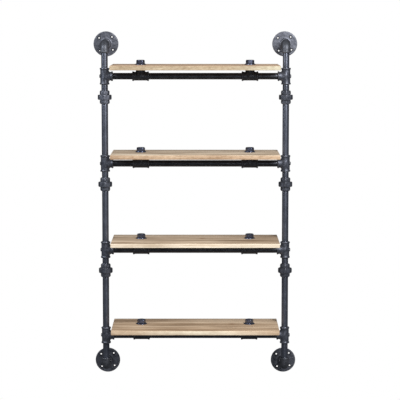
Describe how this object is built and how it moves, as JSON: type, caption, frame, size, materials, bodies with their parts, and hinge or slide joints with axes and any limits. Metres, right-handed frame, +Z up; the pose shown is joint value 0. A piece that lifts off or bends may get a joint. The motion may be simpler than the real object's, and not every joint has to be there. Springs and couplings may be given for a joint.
{
  "type": "pipe shelving unit",
  "caption": "Wall-mounted shelving unit of iron pipe: uprights with tees, unions, elbows and round wall flanges carry oak boards on cross pipes, each clamped by bolts from above.",
  "frame": {"origin": "on the wall plane, midway between the uprights, at mid-thickness of the back edge of the lowest board", "axes": "+Z up, +Y into the wall, +X to the right seen from the front"},
  "size_m": [0.718, 0.24, 1.22],
  "materials": {
    "iron_pipe": "dark blue-grey lacquered iron, satin",
    "cast_fitting": "dark grey cast iron, lightly pitted, satin",
    "shelf_bolt": "near-black lacquered steel, satin",
    "oak_board": "brushed oak, matt oil, paler at the sawn edges"
  },
  "bodies": {
    "root": {"end_nipple_top_left": "iron_pipe", "elbow_top_left": "cast_fitting", "wall_nipple_top_left": "iron_pipe", "wall_flange_top_left": "cast_fitting", "end_nipple_top_right": "iron_pipe", "elbow_top_right": "cast_fitting", "wall_nipple_top_right": "iron_pipe", "wall_flange_top_right": "cast_fitting", "end_nipple_bottom_left": "iron_pipe", "elbow_bottom_left": "cast_fitting", "wall_nipple_bottom_left": "iron_pipe", "wall_flange_bottom_left": "cast_fitting", "end_nipple_bottom_right": "iron_pipe", "elbow_bottom_right": "cast_fitting", "wall_nipple_bottom_right": "iron_pipe", "wall_flange_bottom_right": "cast_fitting", "upright_tee_1_left": "cast_fitting", "upright_tee_1_right": "cast_fitting", "cross_pipe_1": "iron_pipe", "board_1": "oak_board", "shelf_tee_1_left": "cast_fitting", "shelf_bolt_1_left": "shelf_bolt", "shelf_tee_1_right": "cast_fitting", "shelf_bolt_1_right": "shelf_bolt", "upright_tee_2_left": "cast_fitting", "union_2_left": "cast_fitting", "upright_pipe_2_left": "iron_pipe", "upright_tee_2_right": "cast_fitting", "union_2_right": "cast_fitting", "upright_pipe_2_right": "iron_pipe", "cross_pipe_2": "iron_pipe", "board_2": "oak_board", "shelf_tee_2_left": "cast_fitting", "shelf_bolt_2_left": "shelf_bolt", "shelf_tee_2_right": "cast_fitting", "shelf_bolt_2_right": "shelf_bolt", "upright_tee_3_left": "cast_fitting", "union_3_left": "cast_fitting", "upright_pipe_3_left": "iron_pipe", "upright_tee_3_right": "cast_fitting", "union_3_right": "cast_fitting", "upright_pipe_3_right": "iron_pipe", "cross_pipe_3": "iron_pipe", "board_3": "oak_board", "shelf_tee_3_left": "cast_fitting", "shelf_bolt_3_left": "shelf_bolt", "shelf_tee_3_right": "cast_fitting", "shelf_bolt_3_right": "shelf_bolt", "upright_tee_4_left": "cast_fitting", "union_4_left": "cast_fitting", "upright_pipe_4_left": "iron_pipe", "upright_tee_4_right": "cast_fitting", "union_4_right": "cast_fitting", "upright_pipe_4_right": "iron_pipe", "cross_pipe_4": "iron_pipe", "board_4": "oak_board", "shelf_tee_4_left": "cast_fitting", "shelf_bolt_4_left": "shelf_bolt", "shelf_tee_4_right": "cast_fitting", "shelf_bolt_4_right": "shelf_bolt"}
  },
  "joints": []
}
